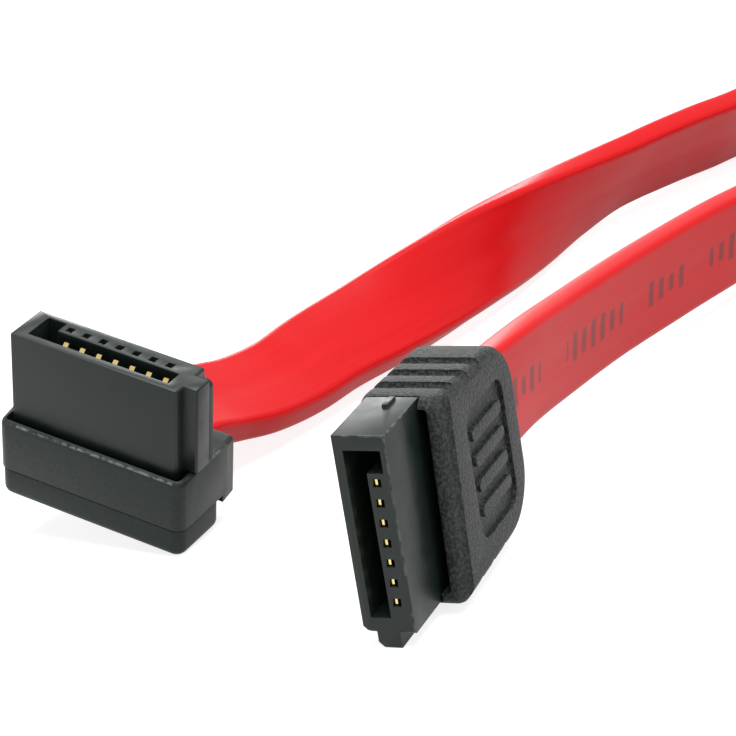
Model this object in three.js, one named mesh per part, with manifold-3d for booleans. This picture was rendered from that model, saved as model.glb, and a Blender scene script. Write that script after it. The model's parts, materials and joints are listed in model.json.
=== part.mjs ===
// Flat seven-contact serial data cable: a straight plug, a right-angle plug and the ribbon between them.
// Millimetres, +Z up. The straight plug stands on its narrow side, as it rests on a table.
import * as THREE from 'three';
import { mergeVertices } from 'three/addons/utils/BufferGeometryUtils.js';
import Module from 'manifold-3d';

const wasm = await Module();
wasm.setup();

// A plug's own frame: the nose points to -Y and its mating face is at y = 0,
// +X is the side that carries the contacts, and the row of contacts runs down along Z.

// Nose: the moulded insulator that enters the socket, the same on both plugs
const noseThickness = 3.3;
const noseWidth = 12.6;
const noseChamfer = 0.4;
const seatClearance = 0.1;
const shoulderAt = 1.4;
const shoulderStep = 0.5;

// L-shaped slot in the mating face
const slotWall = 0.6;
const slotEndWall = 0.95;
const slotGap = 1.27;
const slotLength = 10.66;
const slotFootDepth = 2.31;
const slotFootLength = 1.4;
const slotDepth = 5.2;

// Polarising nub at one end of the row, and the small stop at the other
const nubReach = 1;
const nubWidth = 1.45;
const nubOffset = -0.1;
const stopWidth = 0.4;
const stopOffset = 0.17;
const stopLead = 0.15;
const stopLength = 1.25;
const stopHeight = 0.22;

// Stamped contacts, and the channels that hold them
const contactCount = 7;
const contactPitch = 1.27;
const contactFirst = 2.97;
const contactWidth = 0.36;
const contactStock = 0.16;
const contactClearance = 0.07;
const contactInset = 0.2;
const contactPeak = 1.4;
const contactTail = 0.4;
const contactBulge = 0.4;
const windowInset = 0.28;
const windowDepth = 0.52;
const windowBridge = 0.55;

// Grip of the straight plug: it narrows a little towards the ribbon
const gripThickness = 5.5;
const gripOffset = 0.55;
const gripRise = 0.15;
const gripDrop = 0.45;
const gripTaper = 0.6;
const gripFront = 4.1;
const gripBack = 16.65;
const gripSeat = 2.3;
const gripFrontLean = 0.6;
const gripRimHigh = 1.3;
const gripRimLow = 0.9;
const gripEdge = 0.8;
const gripBackHigh = 3.15;
const gripBackLow = 3.7;
const collarLength = 1.25;
const collarSlant = 3;
const collarGroove = 0.6;
const collarGrooveDepth = 0.28;
const grooveCount = 3;
const groovePitch = 2.1;
const grooveFirst = 7.25;
const grooveRadius = 0.55;
const grooveDepth = 0.52;
const panelFirst = 8;
const panelLength = 6.3;
const panelWidth = 8.4;
const panelCorner = 1.1;
const panelDepth = 0.25;
const ridgeCount = 4;
const ridgeWidth = 0.8;
const ridgePitch = 1.65;
const ridgeMargin = 0.7;

// Well beside the nose, where it goes down into a grip
const wellDepth = 1.4;
const gripWellGap = 0.75;
const gripWellInset = 0.5;
const elbowWellGap = 0.42;

// Upper shell of the right-angle plug
const elbowFront = -2.4;
const elbowBack = 4.15;
const elbowTop = 6.4;
const elbowSeam = 10.15;
const elbowWall = 0.82;
const elbowCorner = 0.8;
const elbowRearCorner = 0.6;
const elbowSeat = 1.6;
const elbowEdge = 0.3;
const reliefDrop = 0.5;
const railReach = 0.7;
const railFrom = 0.75;
const railThickness = 1.5;
const railRound = 0.6;
const railFootRound = 0.1;
const railTop = 0.9;

// Cover that closes the shell from below
const coverBottom = 12.3;
const coverBack = 2.55;
const coverEdge = 0.6;
const coverSetback = 0.06;
const seamGap = 0.1;

// Ribbon
const ribbonWidth = 7.1;
const ribbonThickness = 1.95;
const ribbonRadius = 0.5;
const ribbonSteps = 78;
const mouthDepth = 1.2;
const mouthClearance = 0.15;
const ribbonEndGap = 0.3;
const ribbonLead = 1;
const elbowRibbonReach = 9.3;
const gripRibbonOffset = 0.22;

// Places of the plugs on the table, and the turn of the right-angle plug in degrees
const straightPlace = { x: 14.52, y: -9.2 };
const angledPlace = { x: -7.82, y: 3.13 };
const angledTurn = { yaw: -7.7, lean: 15.3, pitch: 4.7 };

const noseFinish = { color: 0x434745, roughness: 0.42, metalness: 0 };
const gripFinish = { color: 0x3b3f3d, roughness: 0.62, metalness: 0 };
const goldFinish = { color: 0xd9b45a, roughness: 0.25, metalness: 1 };
const jacketFinish = { color: 0xd0242a, roughness: 0.38, metalness: 0 };

// The ribbon between its two leads: x, y, z in millimetres and the lean of its width in degrees
const ribbonRoute = [
  [-8.78, 12.30, 5.08, -19], [-8.00, 15.60, 4.51, -26], [-6.89, 19.00, 3.71, -26],
  [-5.74, 23.20, 3.28, -26.5], [-4.55, 27.20, 3.51, -31], [-2.69, 32.20, 3.69, -39.8],
  [-0.72, 37.80, 3.98, -54], [1.12, 43.90, 4.18, -70.5], [3.04, 51.00, 4.13, -92.1],
  [4.89, 57.60, 4.18, -111.2], [6.99, 63.70, 4.25, -121.4], [9.65, 69.80, 4.08, -121.2],
  [12.13, 75.70, 3.71, -121.5], [13.63, 82.20, 3.50, -116.3], [13.56, 92.00, 3.62, -116.7],
  [11.60, 106.00, 3.62, -103], [8.20, 123.00, 3.62, -93], [5.40, 147.00, 3.62, -90],
  [4.80, 169.80, 3.62, -90], [7.13, 178.50, 3.62, -90], [13.50, 184.87, 3.62, -90],
  [22.20, 187.20, 3.62, -90], [30.90, 184.87, 3.62, -90], [37.27, 178.50, 3.62, -90],
  [39.60, 169.80, 3.62, -90], [39.80, 148.00, 3.62, -90], [38.90, 122.00, 3.62, -87],
  [36.69, 98.00, 3.68, -81.5], [29.35, 71.60, 3.90, -79.2], [24.97, 58.80, 4.28, -77.5],
  [22.08, 50.30, 4.71, -77], [19.88, 42.90, 5.15, -81.4], [18.21, 36.30, 5.50, -82.1],
  [16.67, 29.20, 5.90, -81.4], [15.61, 22.30, 6.33, -82.4], [15.05, 15.80, 6.91, -83.9],
];

const noseLeft = -noseThickness / 2;
const noseTop = noseWidth / 2;
const noseSides = -noseLeft + seatClearance;
const slotLeft = noseLeft + slotWall;
const slotTop = noseTop - slotEndWall;
const ledgeFace = slotLeft + slotGap;
const windowFrom = ledgeFace + windowInset;
const windowTo = windowFrom + windowDepth;
const gripTop = noseTop + gripRise;
const gripBottom = -noseTop - gripDrop;
const elbowHalfWidth = noseTop + elbowWall;
// How far a cutter stands out past the face that it cuts
const cutMargin = 1;

function toSolid(geometry) {
  geometry.deleteAttribute('normal');
  geometry.deleteAttribute('uv');
  const merged = mergeVertices(geometry, 1e-5);
  const vertProperties = new Float32Array(merged.attributes.position.array);
  const triVerts = new Uint32Array(merged.index.array);
  return new wasm.Manifold(new wasm.Mesh({ numProp: 3, vertProperties, triVerts }));
}

function named(name, solid, finish) {
  const { vertProperties, triVerts } = solid.getMesh();
  const geometry = new THREE.BufferGeometry();
  geometry.setAttribute('position', new THREE.BufferAttribute(vertProperties, 3));
  geometry.setIndex(new THREE.BufferAttribute(triVerts, 1));
  geometry.computeVertexNormals();
  const mesh = new THREE.Mesh(geometry, new THREE.MeshStandardMaterial(finish));
  mesh.name = name;
  return mesh;
}

function polygon(points) {
  return new THREE.Shape(points.map(([x, y]) => new THREE.Vector2(x, y)));
}

// A rectangle whose corners are rounded by radii, from the low corner round through the high x side
function roundedBox(x0, y0, x1, y1, [a, b, c, d]) {
  const shape = new THREE.Shape();
  const quarter = Math.PI / 2;
  shape.moveTo(x0 + a, y0);
  shape.lineTo(x1 - b, y0);
  shape.absarc(x1 - b, y0 + b, b, -quarter, 0);
  shape.lineTo(x1, y1 - c);
  shape.absarc(x1 - c, y1 - c, c, 0, quarter);
  shape.lineTo(x0 + d, y1);
  shape.absarc(x0 + d, y1 - d, d, quarter, 2 * quarter);
  shape.lineTo(x0, y0 + a);
  shape.absarc(x0 + a, y0 + a, a, 2 * quarter, 3 * quarter);
  return shape;
}

// Takes a drawn section and its depth to a plug's axes: the depth runs along the axis that names it
const layDepthAlong = {
  x: new THREE.Matrix4().set(0, 0, 1, 0, 1, 0, 0, 0, 0, 1, 0, 0, 0, 0, 0, 1),
  y: new THREE.Matrix4().set(1, 0, 0, 0, 0, 0, 1, 0, 0, -1, 0, 0, 0, 0, 0, 1),
  z: new THREE.Matrix4(),
};

// Sections are drawn in (y, z) for x, in (x, -z) for y and in (x, y) for z
function extrude(section, axis, from, to, edge = 0, curveSegments = 4) {
  const geometry = new THREE.ExtrudeGeometry(section, {
    depth: to - from - 2 * edge,
    curveSegments,
    bevelEnabled: edge > 0,
    bevelThickness: edge,
    bevelSize: edge,
    bevelOffset: -edge,
    bevelSegments: 3,
  });
  geometry.translate(0, 0, from + edge);
  geometry.applyMatrix4(layDepthAlong[axis]);
  return toSolid(geometry);
}

function block(x0, x1, y0, y1, z0, z1) {
  const geometry = new THREE.BoxGeometry(x1 - x0, y1 - y0, z1 - z0);
  geometry.translate((x0 + x1) / 2, (y0 + y1) / 2, (z0 + z1) / 2);
  return toSolid(geometry);
}

function contactRow(i) {
  return noseTop - contactFirst - i * contactPitch;
}

// The nub runs back as far as the rim of the grip allows, and the nose as far as its seat
function makeNose(rim, back) {
  const nubLow = nubOffset - nubWidth / 2;
  const nubHigh = nubOffset + nubWidth / 2;
  const nubEnd = noseTop + nubReach;
  const outline = polygon([
    [noseLeft, -noseTop], [-noseLeft, -noseTop], [-noseLeft, noseTop],
    [noseLeft + noseChamfer, noseTop], [noseLeft, noseTop - noseChamfer],
  ]);
  const nub = polygon([
    [nubHigh, noseTop - noseChamfer], [nubHigh, nubEnd], [nubLow + noseChamfer, nubEnd],
    [nubLow, nubEnd - noseChamfer], [nubLow, noseTop - noseChamfer],
  ]);
  const slot = polygon([
    [slotLeft, -slotTop], [slotLeft + slotFootDepth, -slotTop],
    [slotLeft + slotFootDepth, -slotTop + slotFootLength], [ledgeFace, -slotTop + slotFootLength],
    [ledgeFace, -slotTop + slotLength], [slotLeft, -slotTop + slotLength],
  ]);
  const shoulder = rim + shoulderAt;
  const tongue = block(noseLeft, -noseLeft, shoulder - cutMargin, back,
    shoulderStep - noseTop, noseTop - shoulderStep);
  let nose = extrude(outline, 'y', 0, shoulder).add(tongue);
  nose = nose.add(extrude(nub, 'y', 0, rim - seatClearance));
  nose = nose.subtract(extrude(slot, 'y', -cutMargin, slotDepth));
  for (let i = 0; i < contactCount; i += 1) nose = nose.subtract(makeChannel(i, back));
  const stopLeft = stopOffset - stopWidth / 2;
  const stopFront = rim - stopLead;
  const stop = block(stopLeft, stopLeft + stopWidth, stopFront, stopFront + stopLength,
    noseTop - stopHeight, noseTop + stopHeight);
  return nose.add(stop);
}

// The square window in front, the long mouth into the slot and the tail passage behind
function makeChannel(i, back) {
  const inSlot = ledgeFace - slotGap / 2;
  const section = polygon([
    [windowFrom, -cutMargin], [windowTo, -cutMargin],
    [windowTo, back + cutMargin], [windowFrom, back + cutMargin],
    [windowFrom, slotDepth], [inSlot, slotDepth], [inSlot, windowBridge], [windowFrom, windowBridge],
  ]);
  const half = contactWidth / 2 + contactClearance;
  return extrude(section, 'z', contactRow(i) - half, contactRow(i) + half);
}

// A stamped strip: its tip in the window, its bulge in the slot and its tail along the channel's floor
function makeContact(i, back) {
  const rest = windowTo - contactClearance - contactStock / 2;
  const tip = windowFrom + contactClearance + contactStock / 2;
  const peak = ledgeFace - contactBulge + contactStock / 2;
  const middle = new THREE.SplineCurve([
    new THREE.Vector2(tip, contactInset),
    new THREE.Vector2(tip, windowBridge),
    new THREE.Vector2(peak, contactPeak),
    new THREE.Vector2((peak + rest) / 2, (windowBridge + slotDepth) / 2),
    new THREE.Vector2(rest, slotDepth - contactTail),
    new THREE.Vector2(rest, back - contactTail),
  ]);
  const sides = 14;
  const near = [];
  const far = [];
  for (let s = 0; s <= sides; s += 1) {
    const at = middle.getPoint(s / sides);
    const along = middle.getTangent(s / sides).multiplyScalar(contactStock / 2);
    near.push([at.x - along.y, at.y + along.x]);
    far.unshift([at.x + along.y, at.y - along.x]);
  }
  const row = contactRow(i);
  return extrude(polygon([...near, ...far]), 'z', row - contactWidth / 2, row + contactWidth / 2);
}

// The seat that holds the nose, with a step for its shoulder
function noseSeat(rim, back) {
  const along = noseTop + seatClearance;
  const within = along - shoulderStep;
  const shoulder = rim + shoulderAt + seatClearance;
  const mouth = block(-noseSides, noseSides, rim - cutMargin, shoulder, -along, along);
  return mouth.add(block(-noseSides, noseSides, rim, back + seatClearance, -within, within));
}

function ribbonSection(grow, across, along) {
  const halfAcross = ribbonThickness / 2 + grow;
  const halfAlong = ribbonWidth / 2 + grow;
  const radius = ribbonRadius + grow;
  const radii = [radius, radius, radius, radius];
  return roundedBox(across - halfAcross, along - halfAlong, across + halfAcross, along + halfAlong, radii);
}

function gripSide() {
  const quarter = Math.PI / 2;
  const highBack = gripTop - gripTaper - gripBackHigh;
  const lowBack = gripBottom + gripTaper + gripBackLow;
  const side = new THREE.Shape();
  side.absarc(gripFront + gripRimLow, gripBottom + gripRimLow, gripRimLow, 2 * quarter, 3 * quarter);
  side.absarc(gripBack - gripBackLow, lowBack, gripBackLow, 3 * quarter, 4 * quarter);
  side.absarc(gripBack - gripBackHigh, highBack, gripBackHigh, 0, quarter);
  const highFront = gripFront + gripFrontLean + gripRimHigh;
  side.absarc(highFront, gripTop - gripRimHigh, gripRimHigh, quarter, 2 * quarter);
  return side;
}

function makeStraightGrip() {
  const left = gripOffset - gripThickness / 2;
  const right = gripOffset + gripThickness / 2;
  let grip = extrude(gripSide(), 'x', left, right, gripEdge, 6);
  for (let i = 0; i < grooveCount; i += 1) {
    const at = grooveFirst + i * groovePitch;
    const fallen = (gripTaper * (at - gripFront)) / (gripBack - gripFront);
    grip = grip.subtract(makeGroove(at, gripTop - fallen + grooveRadius - grooveDepth));
    grip = grip.subtract(makeGroove(at, gripBottom + fallen - grooveRadius + grooveDepth));
  }
  grip = grip.subtract(makeCollarGroove(left)).subtract(makeCollarGroove(right));
  grip = grip.subtract(makePanel(left - cutMargin, left + panelDepth));
  grip = grip.subtract(makePanel(right - panelDepth, right + cutMargin));
  const mouth = extrude(ribbonSection(mouthClearance, gripRibbonOffset, 0), 'y',
    gripBack - mouthDepth, gripBack + cutMargin);
  const along = noseTop - gripWellInset;
  const floor = gripFront + wellDepth;
  const side = polygon([
    [gripFront - cutMargin, -along], [floor, -along], [floor + gripFrontLean, along],
    [gripFront - cutMargin, along],
  ]);
  const well = extrude(side, 'x', 0, -noseLeft + gripWellGap);
  return grip.subtract(noseSeat(gripFront, gripFront + gripSeat)).subtract(well).subtract(mouth);
}

// A round-bottomed groove across a narrow side of the grip
function makeGroove(at, height) {
  const length = gripThickness + 2 * cutMargin;
  const groove = new THREE.CylinderGeometry(grooveRadius, grooveRadius, length, 12);
  groove.rotateZ(Math.PI / 2);
  groove.translate(gripOffset, at, height);
  return toSolid(groove);
}

// The shallow groove that sets the front collar off from a wide side
function makeCollarGroove(face) {
  const length = gripTop - gripBottom + 2 * cutMargin;
  const groove = new THREE.CylinderGeometry(collarGroove, collarGroove, length, 12);
  groove.rotateX(Math.PI / 2 - THREE.MathUtils.degToRad(collarSlant));
  const outside = Math.sign(face) * (collarGroove - collarGrooveDepth);
  groove.translate(face + outside, gripFront + collarLength, (gripTop + gripBottom) / 2);
  return toSolid(groove);
}

// A sunk panel in a wide side of the grip, with plain finger ridges left standing in it
function makePanel(from, to) {
  const middle = (gripTop + gripBottom) / 2;
  const low = middle - panelWidth / 2;
  const last = panelFirst + panelLength;
  const radii = [panelCorner, panelCorner, panelCorner, panelCorner];
  let panel = extrude(roundedBox(panelFirst, low, last, low + panelWidth, radii), 'x', from, to);
  for (let i = 0; i < ridgeCount; i += 1) {
    const at = middle + (i - (ridgeCount - 1) / 2) * ridgePitch;
    const ridge = block(from, to, panelFirst + ridgeMargin, last - ridgeMargin,
      at - ridgeWidth / 2, at + ridgeWidth / 2);
    panel = panel.subtract(ridge);
  }
  return panel;
}

// The shell and the strain relief behind it, closed below by a lower block
function makeElbowShell() {
  const half = elbowHalfWidth;
  const rear = elbowRearCorner;
  const outline = roundedBox(elbowFront, -half, elbowBack, half, [elbowCorner, rear, rear, elbowCorner]);
  const body = extrude(outline, 'y', elbowTop, elbowSeam, elbowEdge);
  const front = coverBack + seamGap;
  const corner = rear / 4;
  const reliefOutline = roundedBox(front, -half, elbowBack, half, [corner, rear, rear, corner]);
  const relief = extrude(reliefOutline, 'y', elbowSeam - 2 * elbowEdge, elbowSeam + reliefDrop);
  const across = -noseLeft + elbowWellGap;
  const along = noseTop + elbowWellGap;
  const well = block(-across, across, elbowTop - cutMargin, elbowTop + wellDepth, -along, along);
  const seat = noseSeat(elbowTop, elbowTop + elbowSeat);
  const mouth = extrude(ribbonSection(mouthClearance, elbowRibbonReach, 0), 'x',
    elbowBack - mouthDepth, elbowBack + cutMargin);
  return body.add(relief).subtract(seat).subtract(well).add(makeRail()).subtract(mouth);
}

// The guide rail beside the nub: a post with a rounded top
function makeRail() {
  const low = -noseTop - seatClearance - railReach;
  const radii = [railRound, railRound, railFootRound, railFootRound];
  const foot = elbowTop + wellDepth + elbowEdge;
  const section = roundedBox(railFrom, railTop, railFrom + railThickness, foot, radii);
  return extrude(section, 'z', low, low + railReach);
}

function makeCover() {
  const radii = [elbowCorner, elbowCorner, elbowCorner, elbowCorner];
  const half = elbowHalfWidth - coverSetback;
  const outline = roundedBox(elbowFront + coverSetback, -half, coverBack, half, radii);
  const top = elbowSeam + seamGap;
  const full = extrude(outline, 'y', top - coverEdge, coverBottom, coverEdge);
  const above = block(elbowFront - cutMargin, coverBack + cutMargin, elbowTop, top,
    -half - cutMargin, half + cutMargin);
  return full.subtract(above);
}

// A smooth route whose section turns about it by a lean given at each point
class RibbonRoute extends THREE.CatmullRomCurve3 {
  constructor(points, leans) {
    super(points);
    this.leans = new THREE.CatmullRomCurve3(leans.map((lean, i) => new THREE.Vector3(i, lean, 0)));
  }

  computeFrenetFrames(segments) {
    const tangents = [];
    const normals = [];
    const binormals = [];
    const up = new THREE.Vector3(0, 0, 1);
    for (let s = 0; s <= segments; s += 1) {
      const along = this.getTangentAt(s / segments).normalize();
      const side = new THREE.Vector3().crossVectors(along, up).normalize();
      const rise = new THREE.Vector3().crossVectors(side, along);
      const lean = THREE.MathUtils.degToRad(this.leans.getPoint(this.getUtoTmapping(s / segments)).y);
      const wide = side.multiplyScalar(Math.cos(lean)).addScaledVector(rise, Math.sin(lean));
      tangents.push(along);
      normals.push(wide);
      binormals.push(new THREE.Vector3().crossVectors(along, wide));
    }
    return { tangents, normals, binormals };
  }
}

// Where the ribbon leaves a plug, and a point a short way straight out of it
function leadOut(plug, start, direction) {
  plug.updateWorldMatrix(true, true);
  const from = plug.localToWorld(start.clone().addScaledVector(direction, ribbonEndGap));
  const out = plug.localToWorld(start.clone().addScaledVector(direction, mouthDepth + ribbonLead));
  return [from, out];
}

function makeRibbon(angledPlug, straightPlug) {
  const across = new THREE.Vector3(1, 0, 0);
  const back = new THREE.Vector3(0, 1, 0);
  const elbowMouth = new THREE.Vector3(elbowBack - mouthDepth, elbowRibbonReach, 0);
  const gripMouth = new THREE.Vector3(gripRibbonOffset, gripBack - mouthDepth, 0);
  const points = [
    ...leadOut(angledPlug, elbowMouth, across),
    ...ribbonRoute.map(([x, y, z]) => new THREE.Vector3(x, y, z)),
    ...leadOut(straightPlug, gripMouth, back).reverse(),
  ];
  const leans = [-angledTurn.lean, -angledTurn.lean, ...ribbonRoute.map((row) => row[3]), -90, -90];
  const section = ribbonSection(0, 0, 0);
  const turned = new THREE.Shape(section.getPoints(3).map((p) => new THREE.Vector2(p.y, -p.x)));
  const geometry = new THREE.ExtrudeGeometry(turned, {
    steps: ribbonSteps, curveSegments: 3, bevelEnabled: false, extrudePath: new RibbonRoute(points, leans),
  });
  return toSolid(geometry);
}

function addNose(plug, name, rim, back) {
  plug.add(named(`${name}_nose`, makeNose(rim, back), noseFinish));
  for (let i = 0; i < contactCount; i += 1) {
    plug.add(named(`${name}_contact_${i + 1}`, makeContact(i, back), goldFinish));
  }
}

// Lowers or lifts a plug until its lowest point touches the table
function standOnTable(plug, { x, y }) {
  plug.position.set(x, y, 0);
  plug.updateWorldMatrix(true, true);
  plug.position.z = -new THREE.Box3().setFromObject(plug, true).min.z;
}

function makeStraightPlug() {
  const plug = new THREE.Group();
  addNose(plug, 'straight', gripFront, gripFront + gripSeat);
  plug.add(named('straight_grip', makeStraightGrip(), gripFinish));
  standOnTable(plug, straightPlace);
  return plug;
}

// The right-angle plug is built like the straight one, then its nose is turned to point up
function makeAngledPlug() {
  const plug = new THREE.Group();
  addNose(plug, 'angled', elbowTop, elbowTop + elbowSeat);
  plug.add(named('angled_shell', makeElbowShell(), gripFinish));
  plug.add(named('angled_cover', makeCover(), gripFinish));
  const upright = new THREE.Matrix4().makeBasis(
    new THREE.Vector3(0, 1, 0), new THREE.Vector3(0, 0, -1), new THREE.Vector3(-1, 0, 0));
  plug.rotation.setFromRotationMatrix(upright);
  const { yaw, lean, pitch } = angledTurn;
  const [pitchBy, leanBy, yawBy] = [pitch, lean, yaw].map(THREE.MathUtils.degToRad);
  const turn = new THREE.Quaternion().setFromEuler(new THREE.Euler(pitchBy, leanBy, yawBy, 'ZYX'));
  plug.quaternion.premultiply(turn);
  standOnTable(plug, angledPlace);
  return plug;
}

const cable = new THREE.Group();
const straightPlug = makeStraightPlug();
const angledPlug = makeAngledPlug();
cable.add(straightPlug, angledPlug);
cable.add(named('ribbon_jacket', makeRibbon(angledPlug, straightPlug), jacketFinish));

export default cable;
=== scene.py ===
# A flat serial data cable: a straight plug, a right-angle plug and the red ribbon between them.
# Lengths are in millimetres up to the last step of each piece, which takes it to metres.
import json
import math
from functools import partial
import bmesh
import bpy
from mathutils import Matrix, Vector

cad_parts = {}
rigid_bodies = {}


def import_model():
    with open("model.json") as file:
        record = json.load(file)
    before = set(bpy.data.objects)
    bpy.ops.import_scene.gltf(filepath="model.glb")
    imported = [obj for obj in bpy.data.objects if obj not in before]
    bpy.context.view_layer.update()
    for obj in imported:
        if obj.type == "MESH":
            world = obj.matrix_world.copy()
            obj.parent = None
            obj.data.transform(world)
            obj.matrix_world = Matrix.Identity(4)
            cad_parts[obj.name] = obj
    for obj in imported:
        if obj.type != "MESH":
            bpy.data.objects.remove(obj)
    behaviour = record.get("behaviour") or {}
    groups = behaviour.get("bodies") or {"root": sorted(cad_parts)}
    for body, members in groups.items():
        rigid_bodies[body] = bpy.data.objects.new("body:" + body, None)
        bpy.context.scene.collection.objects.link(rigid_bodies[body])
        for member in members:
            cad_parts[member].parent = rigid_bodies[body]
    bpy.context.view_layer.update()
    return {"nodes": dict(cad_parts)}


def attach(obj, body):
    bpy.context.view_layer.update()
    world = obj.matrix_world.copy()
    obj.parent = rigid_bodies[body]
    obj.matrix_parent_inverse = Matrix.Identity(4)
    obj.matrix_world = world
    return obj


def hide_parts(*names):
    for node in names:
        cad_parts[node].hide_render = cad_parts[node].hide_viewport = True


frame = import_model()
mm = 0.001
scene = bpy.context.scene
print("frame loaded:", len(frame["nodes"]), "nodes")

view = {
    "place": (79.632, -143.084, 74.763),  # mm, fitted to the two plugs' corners
    "turn": (68.710, 8.847, 22.016),  # degrees, XYZ
    "lens": 139.0,
    "sensor": 36,
    "nearest": 0.005,  # metres
}


def placeCamera():
    bpy.ops.object.camera_add(
        location=Vector(view["place"]) * mm,
        rotation=[math.radians(angle) for angle in view["turn"]],
    )
    camera = bpy.context.object
    camera.name = "camera"
    camera.data.lens = view["lens"]
    camera.data.sensor_width = view["sensor"]
    camera.data.clip_start = view["nearest"]
    scene.camera = camera


placeCamera()

# Where the two plugs are, in the row's frame. A plug's own frame has its mating face at y = 0,
# +X on the side with the contacts, and the row of contacts running down along Z.
straightPlace = Matrix.Translation((14.52, -9.2, 7.3))
angled = {"yaw": -7.7, "lean": 15.3, "pitch": 4.7, "place": (-7.82, 3.13, 13.6572)}
upright = Matrix(((0, 0, -1), (1, 0, 0), (0, -1, 0))).to_4x4()
angledTurn = (
    Matrix.Rotation(math.radians(angled["yaw"]), 4, "Z")
    @ Matrix.Rotation(math.radians(angled["lean"]), 4, "Y")
    @ Matrix.Rotation(math.radians(angled["pitch"]), 4, "X")
)
angledPlace = Matrix.Translation(angled["place"]) @ angledTurn @ upright

ribbon = {
    "width": 7.1,
    "thickness": 1.95,
    "corner": 0.5,
    "valley": 0.05,  # hollow between the two pairs of wires
    "valleyWidth": 0.75,
    "faceSteps": 9,  # from the middle of a face to its edge
    "ringsPerPoint": 20,
    "blankAside": 20,  # how far the face without print is moved in the map of the print
    "angledExit": (2.95, 9.3, 0),  # floor of the mouth in the angled plug's frame
    "straightExit": (0.22, 15.45, 0),
    "endGap": 0.3,  # between the ribbon's end and the floor of the mouth
    "lead": 2.2,  # mouth depth and the straight stretch in front of it
    "mouthGap": 0.15, "mouthRound": 0.9,
    # x, y, z and the lean of the width in degrees
    "route": [
        (-8.78, 12.30, 5.08, -19), (-8.00, 15.60, 4.51, -26), (-6.89, 19.00, 3.71, -26),
        (-5.74, 23.20, 3.28, -26.5), (-4.55, 27.20, 3.51, -31), (-2.69, 32.20, 3.69, -39.8),
        (-0.72, 37.80, 3.98, -54), (1.12, 43.90, 4.18, -70.5), (3.04, 51.00, 4.13, -92.1),
        (4.89, 57.60, 4.18, -111.2), (6.99, 63.70, 4.25, -121.4), (9.65, 69.80, 4.08, -121.2),
        (12.13, 75.70, 3.71, -121.5), (13.63, 82.20, 3.50, -116.3), (13.56, 92.00, 3.62, -116.7),
        (11.60, 106.00, 3.62, -103), (8.20, 123.00, 3.62, -93), (5.40, 147.00, 3.62, -90),
        (4.80, 169.80, 3.62, -90), (7.13, 178.50, 3.62, -90), (13.50, 184.87, 3.62, -90),
        (22.20, 187.20, 3.62, -90), (30.90, 184.87, 3.62, -90), (37.27, 178.50, 3.62, -90),
        (39.60, 169.80, 3.62, -90), (39.80, 148.00, 3.62, -90), (38.90, 122.00, 3.62, -87),
        (36.69, 98.00, 3.68, -81.5), (29.35, 71.60, 3.90, -79.2), (24.97, 58.80, 4.28, -77.5),
        (22.08, 50.30, 4.71, -77), (19.88, 42.90, 5.15, -81.4), (18.21, 36.30, 5.50, -82.1),
        (16.67, 29.20, 5.90, -81.4), (15.61, 22.30, 6.33, -82.4), (15.05, 15.80, 6.91, -83.9),
    ],
}


def mouthHalves():
    # half the height and half the width of the mouth that the ribbon leaves a plug by
    return [ribbon[side] / 2 + ribbon["mouthGap"] for side in ("thickness", "width")]


def leadOut(place, start, direction):
    start, direction = Vector(start), Vector(direction)
    return [place @ (start + direction * step) for step in (ribbon["endGap"], ribbon["lead"])]


def splinePoint(points, at):
    # the centripetal Catmull-Rom curve that the CAD ribbon follows
    i = min(int(at), len(points) - 2)
    weight = at - i
    p1, p2 = points[i], points[i + 1]
    p0 = points[i - 1] if i > 0 else p1 * 2 - p2
    p3 = points[i + 2] if i + 2 < len(points) else p2 * 2 - p1
    d0, d1, d2 = (math.sqrt((b - a).length) for a, b in ((p0, p1), (p1, p2), (p2, p3)))
    t1 = ((p1 - p0) / d0 - (p2 - p0) / (d0 + d1) + (p2 - p1) / d1) * d1
    t2 = ((p2 - p1) / d1 - (p3 - p1) / (d1 + d2) + (p3 - p2) / d2) * d1
    c2 = (p2 - p1) * 3 - t1 * 2 - t2
    c3 = (p1 - p2) * 2 + t1 + t2
    return p1 + t1 * weight + c2 * weight**2 + c3 * weight**3


def ribbonSection():
    # one turn round the jacket: across the width, out of the face, and which face it is
    halfWidth, halfThickness = ribbon["width"] / 2, ribbon["thickness"] / 2
    corner = ribbon["corner"]
    flat = halfWidth - corner
    steps = ribbon["faceSteps"]
    acrossFace = [flat * math.sin(math.pi / 2 * k / steps) for k in range(-steps, steps + 1)]
    # degrees round a side, and whether that is its upper or lower corner
    turn = [(22.5, 1), (45, 1), (67.5, 1), (90, 1), (90, -1), (112.5, -1), (135, -1), (157.5, -1)]
    section = []
    for face in (1, -1):
        for across in acrossFace[:: -face]:
            hollow = ribbon["valley"] * math.exp(-((across / ribbon["valleyWidth"]) ** 2))
            section.append((across, face * (halfThickness - hollow), face))
        for angle, upper in turn:
            out = flat + corner * math.sin(math.radians(angle))
            level = upper * (halfThickness - corner) + corner * math.cos(math.radians(angle))
            section.append((-face * out, face * level, face))
    return section


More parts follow.
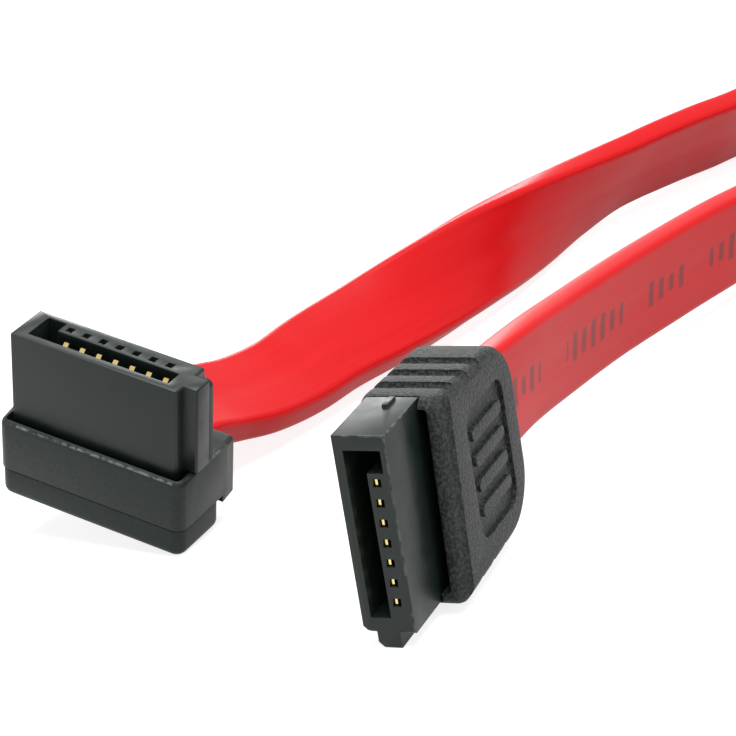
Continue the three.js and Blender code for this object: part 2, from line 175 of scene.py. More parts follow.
def makeRibbon():
    start = leadOut(angledPlace, ribbon["angledExit"], (1, 0, 0))
    end = leadOut(straightPlace, ribbon["straightExit"], (0, 1, 0))[::-1]
    points = start + [Vector(row[:3]) for row in ribbon["route"]] + end
    leanList = [-angled["lean"]] * 2 + [row[3] for row in ribbon["route"]] + [-90, -90]
    leans = [Vector((i, lean, 0)) for i, lean in enumerate(leanList)]
    count = (len(points) - 1) * ribbon["ringsPerPoint"]
    centres = [splinePoint(points, k / ribbon["ringsPerPoint"]) for k in range(count + 1)]
    section = ribbonSection()
    mesh = bmesh.new()
    uv = mesh.loops.layers.uv.new("along")
    rings, travelled, run = [], [], 0
    for k, centre in enumerate(centres):
        before, after = centres[max(k - 1, 0)], centres[min(k + 1, count)]
        along = (after - before).normalized()
        side = along.cross(Vector((0, 0, 1))).normalized()
        lean = math.radians(splinePoint(leans, k / ribbon["ringsPerPoint"]).y)
        wide = side * math.cos(lean) + side.cross(along) * math.sin(lean)
        out = along.cross(wide)
        rings.append([mesh.verts.new((centre + wide * a + out * b) * mm) for a, b, _ in section])
        run += (centre - before).length if k else 0
        travelled.append(run)
    size = len(section)
    for k in range(count):
        for j in range(size):
            n = (j + 1) % size
            corners = ((k, j), (k + 1, j), (k + 1, n), (k, n))
            face = mesh.faces.new([rings[ring][place] for ring, place in corners])
            face.smooth = True
            for loop, (ring, place) in zip(face.loops, corners):
                # the marks fall on one face only
                aside = 0 if section[place][2] > 0 else ribbon["blankAside"]
                loop[uv].uv = (travelled[ring] * mm, (section[place][0] + aside) * mm)
    mesh.faces.new(rings[0])
    mesh.faces.new(rings[-1][::-1])
    bmesh.ops.recalc_face_normals(mesh, faces=mesh.faces)
    data = bpy.data.meshes.new("ribbon")
    mesh.to_mesh(data)
    mesh.free()
    piece = bpy.data.objects.new("ribbon", data)
    scene.collection.objects.link(piece)
    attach(piece, "root")
    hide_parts("ribbon_jacket")
    print("ribbon length", round(travelled[-1], 1), "mm")
    return piece


ribbonPiece = makeRibbon()

plug = {
    "thickness": 3.3, "width": 12.6,
    "slotWall": 0.6, "slotEndWall": 0.95, "slotGap": 1.27, "slotLength": 10.66,
    "footDepth": 2.31, "footLength": 1.4, "slotDepth": 5.2,
    "nubReach": 1.0, "nubWidth": 1.45, "nubOffset": -0.1, "nubRoot": 0.5, "nubShort": 0.1,
    "stopWidth": 0.4, "stopOffset": 0.17, "stopLead": 0.15, "stopLength": 1.25, "stopHeight": 0.2,
    "stopRoot": 0.3,
    "contacts": 7, "pitch": 1.27, "firstContact": 2.97,
    "windowWidth": 0.5, "windowInset": 0.28, "windowDepth": 0.52, "windowBridge": 0.55,
    "windowBack": 0.3,  # wall left behind the windows
    "springFront": 0.4, "springBack": 0.1,  # a contact's opening runs from slot to window
    "shoulderAt": 1.4, "shoulderStep": 0.5,  # the tongue behind the rim is narrower
    "seatPlay": 0.1,  # between the nose and the grip or shell round it
    "wellDepth": 1.4, "wellRound": 0.3,
    "edge": 0.11,  # moulded edges are never quite sharp
}

# What counts as one point, as flat, as an edge to soften and as smooth: mm, then degrees
finish = {"merge": 0.002, "flat": 0.6, "sharp": 40, "smooth": 32}
past = 1  # mm that a cutter reaches beyond the face that it opens


def deselectAll():
    if bpy.context.object and bpy.context.object.mode != "OBJECT":
        bpy.ops.object.mode_set(mode="OBJECT")
    bpy.ops.object.select_all(action="DESELECT")


def pickOnly(piece):
    deselectAll()
    bpy.context.view_layer.objects.active = piece
    piece.select_set(True)


def addBlock(low, high, name="cutter"):
    deselectAll()
    low, high = Vector(low), Vector(high)
    bpy.ops.mesh.primitive_cube_add(size=1, location=(low + high) / 2, scale=high - low)
    block = bpy.context.object
    block.name = name
    bpy.ops.object.transform_apply(location=True, rotation=True, scale=True)
    return block


def addRod(radius, length, centre=(0, 0, 0), lean=0):
    # a rod along z, or along x where it leans by a right angle
    deselectAll()
    bpy.ops.mesh.primitive_cylinder_add(
        vertices=24, radius=radius, depth=length, location=centre, rotation=(0, lean, 0))
    rod = bpy.context.object
    bpy.ops.object.transform_apply(location=True, rotation=True, scale=True)
    return rod


def combine(piece, other, operation):
    pickOnly(piece)
    cutter = piece.modifiers.new("cut", "BOOLEAN")
    cutter.operation = operation
    cutter.object = other
    cutter.solver = "EXACT"
    bpy.ops.object.modifier_apply(modifier=cutter.name)
    bpy.data.objects.remove(other, do_unlink=True)


def bevelEdges(piece, chosen, width, segments):
    # rounds the edges whose two ends both answer to chosen(a, b)
    pickOnly(piece)
    bpy.ops.object.mode_set(mode="EDIT")
    bpy.ops.mesh.select_mode(type="EDGE")
    bpy.ops.mesh.select_all(action="DESELECT")
    mesh = bmesh.from_edit_mesh(piece.data)
    for edge in mesh.edges:
        edge.select_set(chosen(edge.verts[0].co, edge.verts[1].co))
    bmesh.update_edit_mesh(piece.data)
    bpy.ops.mesh.bevel(offset=width, segments=segments, affect="EDGES", clamp_overlap=True)
    bpy.ops.object.mode_set(mode="OBJECT")


def near(value, target):
    return abs(value - target) < 1e-4


def onPlanes(**planes):
    # chooses the edges that lie on all these planes, such as x=0, z=2
    return lambda a, b: all(near(getattr(end, axis), level)
                            for axis, level in planes.items() for end in (a, b))


def uprightsAt(x):
    # chooses the edges that run from front to back at this x
    return lambda a, b: near(a.x, x) and near(b.x, x) and near(a.z, b.z)


def finishPiece(piece, place, edge, segments=2):
    # softens what is still sharp, then takes the piece from the plug's frame to the row's
    pickOnly(piece)
    bpy.ops.object.mode_set(mode="EDIT")
    bpy.ops.mesh.select_all(action="SELECT")
    bpy.ops.mesh.remove_doubles(threshold=finish["merge"])
    bpy.ops.mesh.dissolve_limited(angle_limit=math.radians(finish["flat"]))
    bpy.ops.object.mode_set(mode="OBJECT")
    soften = piece.modifiers.new("soften", "BEVEL")
    soften.width = edge
    soften.segments = segments
    soften.limit_method = "ANGLE"
    soften.angle_limit = math.radians(finish["sharp"])
    bpy.ops.object.modifier_apply(modifier=soften.name)
    piece.data.transform(Matrix.Scale(mm, 4) @ place)
    bpy.ops.object.shade_smooth_by_angle(angle=math.radians(finish["smooth"]))
    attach(piece, "root")


def rowHeight(i):
    # the middle of one contact, along the row
    return plug["width"] / 2 - plug["firstContact"] - i * plug["pitch"]


def makeNose(name, shape, place):
    half, top = plug["thickness"] / 2, plug["width"] / 2
    rim, back = shape["rim"], shape["rim"] + shape["seat"]
    nubLow, nubEnd = plug["nubOffset"] - plug["nubWidth"] / 2, -top - plug["nubReach"]
    nose = addBlock((-half, 0, -top), (half, rim + plug["shoulderAt"], top), name)
    bevelEdges(nose, onPlanes(x=-half, z=-top), shape["noseCorner"], 1)
    bevelEdges(nose, onPlanes(y=0, z=-top), shape["leadIn"], 1)
    nub = addBlock((nubLow, 0, nubEnd),
                   (nubLow + plug["nubWidth"], rim - plug["nubShort"], -top + plug["nubRoot"]))
    bevelEdges(nub, onPlanes(x=nubLow, z=nubEnd), shape["noseCorner"], 1)
    bevelEdges(nub, onPlanes(y=0, z=nubEnd), shape["nubRound"], 5)
    combine(nose, nub, "UNION")
    within = top - plug["shoulderStep"]
    combine(nose, addBlock((-half, rim, -within), (half, back, within)), "UNION")
    stopLeft, stopFront = plug["stopOffset"] - plug["stopWidth"] / 2, rim - plug["stopLead"]
    stop = addBlock((stopLeft, stopFront, top - plug["stopRoot"]),
                    (stopLeft + plug["stopWidth"], stopFront + plug["stopLength"],
                     top + plug["stopHeight"]))
    combine(nose, stop, "UNION")
    slotLeft = -half + plug["slotWall"]
    slotTop = top - plug["slotEndWall"]
    ledge = slotLeft + plug["slotGap"]
    slot = addBlock((slotLeft, -past, slotTop - plug["slotLength"]),
                    (ledge, plug["slotDepth"], slotTop))
    foot = addBlock((slotLeft, -past, slotTop - plug["footLength"]),
                    (slotLeft + plug["footDepth"], plug["slotDepth"], slotTop))
    combine(slot, foot, "UNION")
    combine(nose, slot, "DIFFERENCE")
    windowFrom = ledge + plug["windowInset"]
    windowTo = windowFrom + plug["windowDepth"]
    for i in range(plug["contacts"]):
        low, high = rowHeight(i) - plug["windowWidth"] / 2, rowHeight(i) + plug["windowWidth"] / 2
        window = addBlock((windowFrom, -past, low), (windowTo, back - plug["windowBack"], high))
        opening = addBlock((ledge - plug["springFront"], plug["windowBridge"], low),
                           (windowFrom + plug["springBack"], plug["slotDepth"], high))
        combine(window, opening, "UNION")
        combine(nose, window, "DIFFERENCE")
    finishPiece(nose, place, plug["edge"])
    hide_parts(name.replace("Nose", "_nose"))
    return nose


straight = {
    "noseCorner": 0.4, "leadIn": 0.15, "nubRound": 0.15,
    "rim": 4.1, "back": 16.65, "seat": 2.3, "top": 6.45, "bottom": -6.75, "taper": 0.6,
    "thickness": 5.5, "offset": 0.55, "rimLean": 0.6, "edge": 0.8, "softEdge": 0.14,
    "highRimRound": 1.3, "lowRimRound": 0.9, "highBackRound": 3.15, "lowBackRound": 3.7,
    "grooves": 3, "groovePitch": 2.1, "firstGroove": 7.25, "grooveRadius": 0.55, "grooveDepth": 0.52,
    "collarLength": 1.25, "collarSlant": 3, "collarRadius": 0.6, "collarDepth": 0.28,
    "grooveCutter": 9, "collarCutter": 18,  # longer than the grip is thick and tall
    "panelStart": 8, "panelLength": 6.3, "panelWidth": 8.4, "panelDepth": 0.25, "panelRound": 1.1,
    "ridges": 4, "ridgePitch": 1.65, "ridgeWidth": 0.8, "ridgeMargin": 0.7, "ridgeRound": 0.36,
    "wellGap": 0.75, "wellInset": 0.5, "mouthDepth": 1.2,
}


def addPocket(low, high, radius, axis, segments=5):
    # a block whose four edges along one axis are rounded
    pocket = addBlock(low, high)
    k = "xyz".index(axis)
    bevelEdges(pocket, lambda a, b: not near(a[k], b[k]), radius, segments)
    return pocket


def cutPanel(grip, fromX, toX):
    middle = (straight["top"] + straight["bottom"]) / 2
    start, last = straight["panelStart"], straight["panelStart"] + straight["panelLength"]
    half = straight["panelWidth"] / 2
    panel = addPocket((fromX, start, middle - half), (toX, last, middle + half),
                      straight["panelRound"], "x")
    for i in range(straight["ridges"]):
        at = middle + (i - (straight["ridges"] - 1) / 2) * straight["ridgePitch"]
        side, margin = straight["ridgeWidth"] / 2, straight["ridgeMargin"]
        ridge = addPocket((fromX - past, start + margin, at - side),
                          (toX + past, last - margin, at + side), straight["ridgeRound"], "x")
        combine(panel, ridge, "DIFFERENCE")
    combine(grip, panel, "DIFFERENCE")


def cutNoseSeat(piece, rim, back):
    play = plug["seatPlay"]
    half, top = plug["thickness"] / 2 + play, plug["width"] / 2 + play
    within = top - plug["shoulderStep"]
    seat = addBlock((-half, rim - past, -top), (half, rim + plug["shoulderAt"] + play, top))
    combine(seat, addBlock((-half, rim, -within), (half, back + play, within)), "UNION")
    combine(piece, seat, "DIFFERENCE")


def makeStraightGrip():
    left = straight["offset"] - straight["thickness"] / 2
    right = left + straight["thickness"]
    rim, back, taper = straight["rim"], straight["back"], straight["taper"]
    top, bottom = straight["top"], straight["bottom"]
    grip = addBlock((left, rim, bottom), (right, back, top), "straightGrip")
    for corner in grip.data.vertices:
        if near(corner.co.y, back):
            corner.co.z -= math.copysign(taper, corner.co.z)
        elif corner.co.z > 0:
            corner.co.y += straight["rimLean"]
    bevelEdges(grip, onPlanes(y=back, z=top - taper), straight["highBackRound"], 10)
    bevelEdges(grip, onPlanes(y=back, z=bottom + taper), straight["lowBackRound"], 10)
    bevelEdges(grip, onPlanes(y=rim + straight["rimLean"], z=top), straight["highRimRound"], 8)
    bevelEdges(grip, onPlanes(y=rim, z=bottom), straight["lowRimRound"], 6)
    bevelEdges(grip, lambda a, b: near(a.x, b.x), straight["edge"], 7)
    for i in range(straight["grooves"]):
        at = straight["firstGroove"] + i * straight["groovePitch"]
        fallen = taper * (at - rim) / (back - rim)
        outside = straight["grooveRadius"] - straight["grooveDepth"]
        for level in (top - fallen + outside, bottom + fallen - outside):
            groove = addRod(straight["grooveRadius"], straight["grooveCutter"],
                            (straight["offset"], at, level), math.pi / 2)
            combine(grip, groove, "DIFFERENCE")
    for face, way in ((left, -1), (right, 1)):
        outside = way * (straight["collarRadius"] - straight["collarDepth"])
        valley = addRod(straight["collarRadius"], straight["collarCutter"])
        slant = Matrix.Rotation(math.radians(-straight["collarSlant"]), 4, "X")
        middle = Vector((face + outside, rim + straight["collarLength"], (top + bottom) / 2))
        valley.data.transform(Matrix.Translation(middle) @ slant)
        combine(grip, valley, "DIFFERENCE")
    cutPanel(grip, left - past, left + straight["panelDepth"])
    cutPanel(grip, right - straight["panelDepth"], right + past)
    cutNoseSeat(grip, rim, rim + straight["seat"])
    wellTop = plug["width"] / 2 - straight["wellInset"]
    wellSide = plug["thickness"] / 2 + straight["wellGap"]
    well = addPocket((0, rim - past, -wellTop), (wellSide, rim + plug["wellDepth"], wellTop),
                     plug["wellRound"], "y", 3)
    for corner in well.data.vertices:
        if corner.co.y > rim and corner.co.z > 0:
            corner.co.y += straight["rimLean"]
    combine(grip, well, "DIFFERENCE")
    across, along = mouthHalves()
    centre = ribbon["straightExit"][0]
    mouth = addPocket((centre - across, back - straight["mouthDepth"], -along),
                      (centre + across, back + past, along), ribbon["mouthRound"], "y")
    combine(grip, mouth, "DIFFERENCE")
    finishPiece(grip, straightPlace, straight["softEdge"], 3)
    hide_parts("straight_grip")
    return grip


elbow = {
    "noseCorner": 0.12, "leadIn": 0.5, "nubRound": 0.55,
    "front": -2.4, "back": 4.4, "rim": 6.4, "seam": 10.15, "half": 7.12, "seat": 1.6,
    "corner": 0.8, "edge": 0.5, "softEdge": 0.13, "wellGap": 0.42,
    "rearCorner": 0.3, "rearDraft": 0.2, "rearOverlap": 0.5, "shoulder": 0.65, "reliefDrop": 0.5,
    "railLow": -7.1, "railFrom": 0.6, "railThickness": 0.8, "railTop": 0.45, "railRoot": 1.7,
    "railRound": 0.5,
    "coverBottom": 12.3, "coverBack": 2.55, "coverEdge": 0.6, "coverSoftEdge": 0.08,
    "setback": 0.06, "seamGap": 0.1,
}


def makeAngledShell():
    half, back, rim, seam = elbow["half"], elbow["back"], elbow["rim"], elbow["seam"]
    split = elbow["coverBack"] + elbow["seamGap"]
    frontEnd = split + elbow["rearOverlap"]
    shell = addBlock((elbow["front"], rim, -half), (frontEnd, seam, half), "angledShell")
    bevelEdges(shell, uprightsAt(elbow["front"]), elbow["corner"], 5)
    bevelEdges(shell, lambda a, b: near(a.y, rim) and near(b.y, rim) and max(a.x, b.x) < split,
               elbow["edge"], 5)
    rear = addBlock((split, rim, -half), (back, seam + elbow["reliefDrop"], half))
    for corner in rear.data.vertices:
        if near(corner.co.x, back):
            corner.co.z -= math.copysign(elbow["rearDraft"], corner.co.z)
    bevelEdges(rear, uprightsAt(back), elbow["rearCorner"], 5)
    bevelEdges(rear, lambda a, b: near(a.y, rim) and near(b.y, rim) and not onPlanes(x=split)(a, b),
               elbow["shoulder"], 6)
    combine(shell, rear, "UNION")
    cutNoseSeat(shell, rim, rim + elbow["seat"])
    across, along = (plug[side] / 2 + elbow["wellGap"] for side in ("thickness", "width"))
    well = addPocket((-across, rim - past, -along), (across, rim + plug["wellDepth"], along),
                     plug["wellRound"], "y", 3)
    combine(shell, well, "DIFFERENCE")
    rail = addBlock((elbow["railFrom"], elbow["railTop"], elbow["railLow"]),
                    (elbow["railFrom"] + elbow["railThickness"], rim + elbow["railRoot"],
                     -plug["width"] / 2 - plug["seatPlay"]))
    bevelEdges(rail, onPlanes(y=elbow["railTop"], z=elbow["railLow"]), elbow["railRound"], 5)
    combine(shell, rail, "UNION")
    across, along = mouthHalves()
    floor, level = ribbon["angledExit"][:2]
    mouth = addPocket((floor, level - across, -along), (back + past, level + across, along),
                      ribbon["mouthRound"], "x")
    combine(shell, mouth, "DIFFERENCE")
    finishPiece(shell, angledPlace, elbow["softEdge"])
    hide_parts("angled_shell")
    return shell


def makeAngledCover():
    half = elbow["half"] - elbow["setback"]
    top, bottom = elbow["seam"] + elbow["seamGap"], elbow["coverBottom"]
    cover = addBlock((elbow["front"] + elbow["setback"], top, -half),
                     (elbow["coverBack"], bottom, half), "angledCover")
    bevelEdges(cover, lambda a, b: near(a.x, b.x) and near(a.z, b.z), elbow["corner"], 6)
    bevelEdges(cover, onPlanes(y=bottom), elbow["coverEdge"], 5)
    finishPiece(cover, angledPlace, elbow["coverSoftEdge"])
    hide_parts("angled_cover")
    return cover


noses = [
    makeNose("straightNose", straight, straightPlace),
    makeNose("angledNose", elbow, angledPlace),
]
print("noses done")
straightGrip = makeStraightGrip()
print("straight grip done")
angledShell = makeAngledShell()
angledCover = makeAngledCover()
print("right-angle plug done")


def hexColour(code):
    # sRGB hex to the linear values that the shaders take
    parts = [int(code[i:i + 2], 16) / 255 for i in (1, 3, 5)]
    return [p / 12.92 if p <= 0.04045 else ((p + 0.055) / 1.055) ** 2.4 for p in parts] + [1]


def newMaterial(name, **shaderValues):
    material = bpy.data.materials.new(name)
    material.use_nodes = True
    shader = material.node_tree.nodes["Principled BSDF"]
    for socket, value in shaderValues.items():
        shader.inputs[socket.replace("_", " ")].default_value = value
    return material, shader


def addNode(material, kind, settings=None, links=None):
    node = material.node_tree.nodes.new("ShaderNode" + kind)
    for name, value in (settings or {}).items():
        if isinstance(name, int) or name in node.inputs:
            node.inputs[name].default_value = value
        else:
            setattr(node, name, value)
    for name, source in (links or {}).items():
        material.node_tree.links.new(source, node.inputs[name])
    return node


def link(material, source, target):
    material.node_tree.links.new(source, target)


def calculate(material, operation, first, second=0):
    # a Math node on values that are numbers or other nodes' outputs
    node = addNode(material, "Math", {"operation": operation})
    for i, value in enumerate((first, second)):
        if isinstance(value, (int, float)):
            node.inputs[i].default_value = value
        else:
            link(material, value, node.inputs[i])
    return node.outputs["Value"]


def remap(material, value, low, high, toLow=0, toHigh=1):
    limits = {"From Min": low, "From Max": high, "To Min": toLow, "To Max": toHigh}
    return addNode(material, "MapRange", limits, {"Value": value}).outputs["Result"]


def patches(material, place, size, detail, **settings):
    # a value from 0 to 1 that changes over about this many mm
    settings.update({"Scale": 1 / (size * mm), "Detail": detail})
    return addNode(material, "TexNoise", settings, {"Vector": place}).outputs["Fac"]


def blend(material, amount, first, second):
    # the first colour is a hex code or another node's output, the second a hex code
    node = addNode(material, "Mix", {"data_type": "RGBA", 7: hexColour(second)}, {0: amount})
    if isinstance(first, str):
        node.inputs[6].default_value = hexColour(first)
    else:
        link(material, first, node.inputs[6])
    return node.outputs[2]


def addBump(material, shader, height, strength, depth):
    bump = addNode(material, "Bump", {"Strength": strength, "Distance": depth * mm}, {"Height": height})
    link(material, bump.outputs["Normal"], shader.inputs["Normal"])


def giveMaterial(pieces, material):
    for piece in pieces:
        piece.data.materials.clear()
        piece.data.materials.append(material)


# Edges rubbed pale by handling, with painted highlights laid along them: place of the plug, start, end,
# half width in mm, strength
# the straight nose's edges: pale lines that are partly wear and partly painted bevel highlights
straightNoseWearAndHighlights = [
    (straightPlace, (1.62, 0.1, 6.27), (1.62, 3.8, 6.27), 0.05, 0.3),
    (straightPlace, (1.6, 0.03, 6.2), (1.6, 0.03, -6.2), 0.05, 0.25),
    (straightPlace, (-1.6, 0.03, 6.27), (1.6, 0.03, 6.27), 0.05, 0.25),
]
# the right-angle shell's rim and end edge: pale lines that are partly wear and partly a painted
# highlight along the rim
shellWearAndHighlights = [
    (angledPlace, (-2.3, 6.56, 6.1), (-2.3, 6.56, -6.4), 0.06, 0.7),
    (angledPlace, (-0.2, 6.45, -7.05), (2.4, 6.45, -7.05), 0.06, 0.4),
]
# The lines are broken into patches of about this many mm, where the noise passes these values
wearAndHighlightLines = {"patch": 0.45, "from": 0.4, "to": 0.6}


# Pale lines along the given edges: partly rubbed wear, partly painted highlight
def wearAndHighlightColour(material, colour, wearAndHighlightTone, edges):
    place = addNode(material, "TexCoord").outputs["Object"]
    broken = remap(material, patches(material, place, wearAndHighlightLines["patch"], 3), wearAndHighlightLines["from"], wearAndHighlightLines["to"])
    for plugPlace, start, end, halfWidth, strength in edges:
        start, end = plugPlace @ Vector(start) * mm, plugPlace @ Vector(end) * mm
        middle, along = (end - start).length / 2, (end - start).normalized()
        offset = addNode(material, "VectorMath", {"operation": "SUBTRACT", 1: start},
                         {0: place}).outputs["Vector"]
        away = addNode(material, "VectorMath", {"operation": "CROSS_PRODUCT", 1: along}, {0: offset})
        distance = addNode(material, "VectorMath", {"operation": "LENGTH"}, {0: away.outputs["Vector"]})
        run = addNode(material, "VectorMath", {"operation": "DOT_PRODUCT", 1: along}, {0: offset})
        off = calculate(material, "SUBTRACT", run.outputs["Value"], middle)
        within = calculate(material, "LESS_THAN", calculate(material, "ABSOLUTE", off), middle)
        edge = halfWidth * mm
        line = remap(material, distance.outputs["Value"], edge, 2 * edge, strength, 0)
        # painted highlight and wear along one edge, broken into patches
        rubbedAndHighlit = calculate(material, "MULTIPLY", calculate(material, "MULTIPLY", line, within), broken)
        colour = blend(material, rubbedAndHighlit, colour, wearAndHighlightTone)
    return colour


# PBT insulator, injection moulded: satin black with a faint flow mottle from the mould
# the pale tone is for the edge lines: wear with painted highlights
nosePlastic = {
    "dark": "#121b18", "light": "#1c2723", "wearAndHighlightTone": "#8b9390", "specular": 0.42,
    "mottle": 1.1, "mottleLow": 0.3, "mottleHigh": 0.7, "smoothest": 0.32, "roughest": 0.44,
    "grain": 0.12, "bump": 0.12, "depth": 0.02,
}


def makeNosePlastic():
    material, shader = newMaterial("mouldedPbt", Specular_IOR_Level=nosePlastic["specular"])
    place = addNode(material, "TexCoord").outputs["Object"]
    mottle = patches(material, place, nosePlastic["mottle"], 3)
    tint = blend(material, mottle, nosePlastic["dark"], nosePlastic["light"])
    # pale edge lines on the nose: wear with painted highlights
    tint = wearAndHighlightColour(material, tint, nosePlastic["wearAndHighlightTone"], straightNoseWearAndHighlights)
    link(material, tint, shader.inputs["Base Color"])
    rough = remap(material, mottle, nosePlastic["mottleLow"], nosePlastic["mottleHigh"],
                  nosePlastic["smoothest"], nosePlastic["roughest"])
    link(material, rough, shader.inputs["Roughness"])
    grain = patches(material, place, nosePlastic["grain"], 2)
    addBump(material, shader, grain, nosePlastic["bump"], nosePlastic["depth"])
    return material


# Overmoulded PVC of the straight grip, its skin spark-eroded to pits that scatter the light,
# and the ABS of the right-angle shell and cover, moulded in a finer tool that leaves it satin
# On both skins the pit floors are painted dark as shade and the pit rims pale as glints; the shell's
# tone also carries the pale edge lines of wear and painted highlight.
gripPlastic = {
    "sparkErodedPvc": {"dark": "#030605", "light": "#353d3a", "pit": 0.21, "depth": 0.15,
                       "roughness": 0.45, "wearAndHighlightLines": []},
    "satinAbs": {"dark": "#1b2522", "light": "#232e2a", "pit": 0.25, "depth": 0.008,
                 "roughness": 0.4, "wearAndHighlightLines": shellWearAndHighlights},
    "wearAndHighlightTone": "#8f9794", "specular": 0.32, "pitRoughness": 0.62, "shadedPitFloorBelow": 0.42, "glintRimAbove": 0.62,
}


def makeGripPlastic(name):
    skin = gripPlastic[name]
    material, shader = newMaterial(name, Roughness=skin["roughness"],
                                   Specular_IOR_Level=gripPlastic["specular"])
    place = addNode(material, "TexCoord").outputs["Object"]
    pits = patches(material, place, skin["pit"], 3, Roughness=gripPlastic["pitRoughness"])
    # painted shade in the pit floors and painted glints on the rims
    pitShadeAndGlint = remap(material, pits, gripPlastic["shadedPitFloorBelow"], gripPlastic["glintRimAbove"])
    tint = blend(material, pitShadeAndGlint, skin["dark"], skin["light"])
    # pale lines on the shell's edges: wear with painted highlights
    tint = wearAndHighlightColour(material, tint, gripPlastic["wearAndHighlightTone"], skin["wearAndHighlightLines"])
    link(material, tint, shader.inputs["Base Color"])
    addBump(material, shader, pits, 1, skin["depth"])
    return material


# Gold flash over nickel on stamped phosphor bronze: warm, smooth and bright at the bends
goldPlate = {"deep": "#e8bd5c", "bright": "#fff0b4", "cloud": 0.5, "roughness": 0.13}


def makeGoldPlate():
    material, shader = newMaterial("goldPlate", Metallic=1, Roughness=goldPlate["roughness"])
    place = addNode(material, "TexCoord").outputs["Object"]
    cloud = patches(material, place, goldPlate["cloud"], 2)
    tint = blend(material, cloud, goldPlate["deep"], goldPlate["bright"])
    link(material, tint, shader.inputs["Base Color"])
    return material


# Red plasticised PVC, extruded: smooth with a soft sheen, long faint draw lines and ink marks
redPvc = {
    "deep": "#c60b11", "bright": "#d8151b", "roughness": 0.32, "specular": 0.2,
    "streak": 0.5, "streakSquash": 0.04, "bump": 0.3, "depth": 0.02,
    # print of plain strokes in four groups, in mm along the ribbon from the right-angle plug
    "ink": "#5e2628", "inkStrength": 0.7, "bleedIn": 0.1, "bleedOut": 0.14,
    "printFrom": 349.0, "printEvery": 64.7,
    "groups": [(0, 3.9), (7.3, 12.7), (16.3, 24.9), (29.3, 37.0)],
    "firstStop": 0.0005,  # a new stop of a ramp can't share place 0 with the ramp's own
    "strokePitch": 1.42, "strokeWidth": 0.62, "strokeHeight": 1.0, "lowestStroke": 0.55,
}


def softLimit(material, value, limit):
    # 1 below the limit, 0 above, with the bleed of ink between
    over = calculate(material, "SUBTRACT", value, limit)
    return remap(material, over, -redPvc["bleedIn"], redPvc["bleedOut"], 1, 0)


def printGroups(material, turns):
    # 1 inside the groups of strokes, 0 between them
    within = addNode(material, "ValToRGB", None, {"Fac": turns})
    within.color_ramp.interpolation = "CONSTANT"
    stops = within.color_ramp.elements
    stops[0].color = (0, 0, 0, 1)
    stops.remove(stops[1])
    for first, last in redPvc["groups"]:
        for place, shade in ((first, 1), (last, 0)):
            stop = stops.new(max(place / redPvc["printEvery"], redPvc["firstStop"]))
            stop.color = (shade, shade, shade, 1)
    return within.outputs["Color"]


def printMarks(material, along):
    do = partial(calculate, material)
    parts = addNode(material, "SeparateXYZ", None, {"Vector": along}).outputs
    across = do("ABSOLUTE", do("DIVIDE", parts["Y"], mm))
    run = do("SUBTRACT", do("DIVIDE", parts["X"], mm), redPvc["printFrom"] % redPvc["printEvery"])
    within = printGroups(material, do("FRACT", do("DIVIDE", run, redPvc["printEvery"])))
    strokes = do("DIVIDE", run, redPvc["strokePitch"])
    offCentre = do("ABSOLUTE", do("SUBTRACT", do("FRACT", strokes), 0.5))
    offCentre = do("MULTIPLY", offCentre, redPvc["strokePitch"])
    chance = addNode(material, "TexWhiteNoise", {"noise_dimensions": "1D"}, {"W": do("FLOOR", strokes)})
    lowest = redPvc["lowestStroke"]
    share = do("ADD", do("MULTIPLY", chance.outputs["Value"], 1 - lowest), lowest)
    height = do("MULTIPLY", share, redPvc["strokeHeight"])
    stroke = do("MULTIPLY", softLimit(material, offCentre, redPvc["strokeWidth"] / 2),
                softLimit(material, across, height))
    return do("MULTIPLY", do("MULTIPLY", stroke, within), redPvc["inkStrength"])


def makeRedPvc():
    material, shader = newMaterial("extrudedPvc", Roughness=redPvc["roughness"],
                                   Specular_IOR_Level=redPvc["specular"])
    along = addNode(material, "UVMap", {"uv_map": "along"}).outputs["UV"]
    stretched = addNode(material, "Mapping", {"Scale": (redPvc["streakSquash"], 1, 1)},
                        {"Vector": along})
    streaks = patches(material, stretched.outputs["Vector"], redPvc["streak"], 3)
    jacket = blend(material, streaks, redPvc["deep"], redPvc["bright"])
    printed = blend(material, printMarks(material, along), jacket, redPvc["ink"])
    link(material, printed, shader.inputs["Base Color"])
    addBump(material, shader, streaks, redPvc["bump"], redPvc["depth"])
    return material


giveMaterial([ribbonPiece], makeRedPvc())
giveMaterial(noses, makeNosePlastic())
giveMaterial([straightGrip], makeGripPlastic("sparkErodedPvc"))
giveMaterial([angledShell, angledCover], makeGripPlastic("satinAbs"))
contacts = [piece for piece in bpy.data.objects if "_contact_" in piece.name]
giveMaterial(contacts, makeGoldPlate())
print("materials done,", len(contacts), "contacts plated")

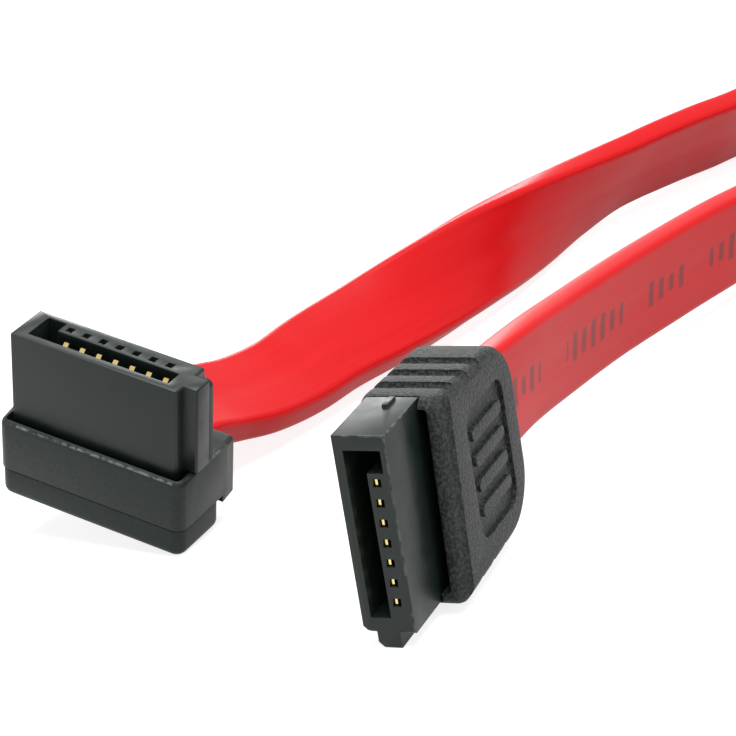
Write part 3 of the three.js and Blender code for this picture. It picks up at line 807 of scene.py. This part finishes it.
studio = {
    "floor": 4.0,  # metres across
    "paper": 0.45,
    "paperGlow": 0.8,
    "ambient": 0.34,
    "mirrored": 0.62,  # how bright the white surroundings are in a gloss
    # name: place and aim in metres, size in metres, watts
    "lamps": {
        "top": ((0.1, 0.0, 0.6), (0.0, 0.03, 0), 0.5, 4.4),
        "back": ((-0.39, 0.8, 0.36), (0, 0, 0.01), 0.26, 1.7),
        "left": ((-0.5, -0.35, 0.25), (0, 0, 0.005), 0.4, 0.6),
        "right": ((0.55, -0.1, 0.25), (0.0, 0.05, 0.005), 0.4, 0.9),
    },
}


def seenDirectly(material):
    # 1 where the camera looks at it, and less in a gloss or through something clear
    rays = addNode(material, "LightPath").outputs
    indirect = calculate(material, "MAXIMUM", rays["Is Glossy Ray"], rays["Is Transmission Ray"])
    dimmed = calculate(material, "MULTIPLY", indirect, studio["mirrored"])
    return calculate(material, "MAXIMUM", rays["Is Camera Ray"], dimmed)


def makeWorld():
    world = bpy.data.worlds.new("studio")
    world.use_nodes = True
    scene.world = world
    background = world.node_tree.nodes["Background"]
    background.inputs["Color"].default_value = (1, 1, 1, 1)
    strength = remap(world, seenDirectly(world), 0, 1, studio["ambient"], 1)
    link(world, strength, background.inputs["Strength"])


def makeFloor():
    deselectAll()
    bpy.ops.mesh.primitive_plane_add(size=studio["floor"], location=(0, 0, 0))
    floor = bpy.context.object
    floor.name = "floor"
    paper = (*[studio["paper"]] * 3, 1)
    material, shader = newMaterial("paperSweep", Base_Color=paper, Roughness=0.9, Specular_IOR_Level=0)
    strength = calculate(material, "MULTIPLY", seenDirectly(material), studio["paperGlow"])
    glow = addNode(material, "Emission", {"Color": (1, 1, 1, 1)}, {"Strength": strength})
    both = addNode(material, "AddShader", None,
                   {0: shader.outputs["BSDF"], 1: glow.outputs["Emission"]}).outputs["Shader"]
    link(material, both, material.node_tree.nodes["Material Output"].inputs["Surface"])
    floor.data.materials.append(material)


def makeLamps():
    for name, (place, aim, size, watts) in studio["lamps"].items():
        deselectAll()
        bpy.ops.object.light_add(type="AREA", location=place)
        lamp = bpy.context.object
        lamp.name = name
        lamp.rotation_euler = (Vector(aim) - Vector(place)).to_track_quat("-Z", "Y").to_euler()
        lamp.data.size = size
        lamp.data.energy = watts


makeWorld()
makeFloor()
makeLamps()
scene.view_settings.view_transform = "Standard"
deselectAll()
